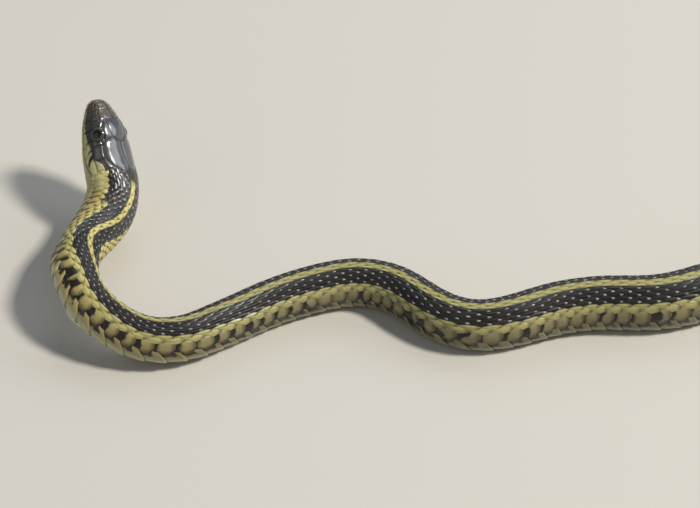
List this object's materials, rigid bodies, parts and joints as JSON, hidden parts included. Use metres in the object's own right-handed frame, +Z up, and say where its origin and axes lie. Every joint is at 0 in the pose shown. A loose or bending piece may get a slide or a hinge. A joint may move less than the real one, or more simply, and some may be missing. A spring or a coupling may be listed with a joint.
{
  "type": "garter snake",
  "caption": "Life-size still garter snake: smooth curving body, raised forebody and head, plated belly, tapering tail.",
  "frame": {"origin": "the point on the floor under the middle of the bounding box", "axes": "+X along the length of the lying animal towards the tail, +Z up, the head raised at the -X end"},
  "size_m": [0.5793, 0.1044, 0.0268],
  "materials": {
    "eye_left_cornea": "glossy dark eye",
    "eye_right_cornea": "glossy dark eye",
    "head_skin": "glossy dark plates",
    "lower_jaw_skin": "smooth yellow scales",
    "neck_01_skin": "keeled scales, dark with yellow stripes",
    "neck_02_skin": "keeled scales, dark with yellow stripes",
    "tail_01_skin": "keeled scales, dark with yellow stripes",
    "tail_02_skin": "keeled scales, dark with yellow stripes",
    "tail_03_skin": "keeled scales, dark with yellow stripes",
    "tail_04_skin": "keeled scales, dark with yellow stripes",
    "tail_05_skin": "keeled scales, dark with yellow stripes",
    "torso_01_skin": "keeled scales, dark with yellow stripes",
    "torso_02_skin": "keeled scales, dark with yellow stripes",
    "torso_03_skin": "keeled scales, dark with yellow stripes",
    "torso_04_skin": "keeled scales, dark with yellow stripes",
    "torso_05_skin": "keeled scales, dark with yellow stripes",
    "torso_06_skin": "keeled scales, dark with yellow stripes",
    "torso_07_skin": "keeled scales, dark with yellow stripes",
    "torso_08_skin": "keeled scales, dark with yellow stripes",
    "torso_09_skin": "keeled scales, dark with yellow stripes",
    "torso_10_skin": "keeled scales, dark with yellow stripes",
    "torso_11_skin": "keeled scales, dark with yellow stripes"
  },
  "bodies": {
    "root": {"eye_left": "eye_left_cornea", "eye_right": "eye_right_cornea", "head": "head_skin", "lower_jaw": "lower_jaw_skin", "neck_01": "neck_01_skin", "neck_02": "neck_02_skin", "tail_01": "tail_01_skin", "tail_02": "tail_02_skin", "tail_03": "tail_03_skin", "tail_04": "tail_04_skin", "tail_05": "tail_05_skin", "torso_01": "torso_01_skin", "torso_02": "torso_02_skin", "torso_03": "torso_03_skin", "torso_04": "torso_04_skin", "torso_05": "torso_05_skin", "torso_06": "torso_06_skin", "torso_07": "torso_07_skin", "torso_08": "torso_08_skin", "torso_09": "torso_09_skin", "torso_10": "torso_10_skin", "torso_11": "torso_11_skin"}
  },
  "joints": []
}
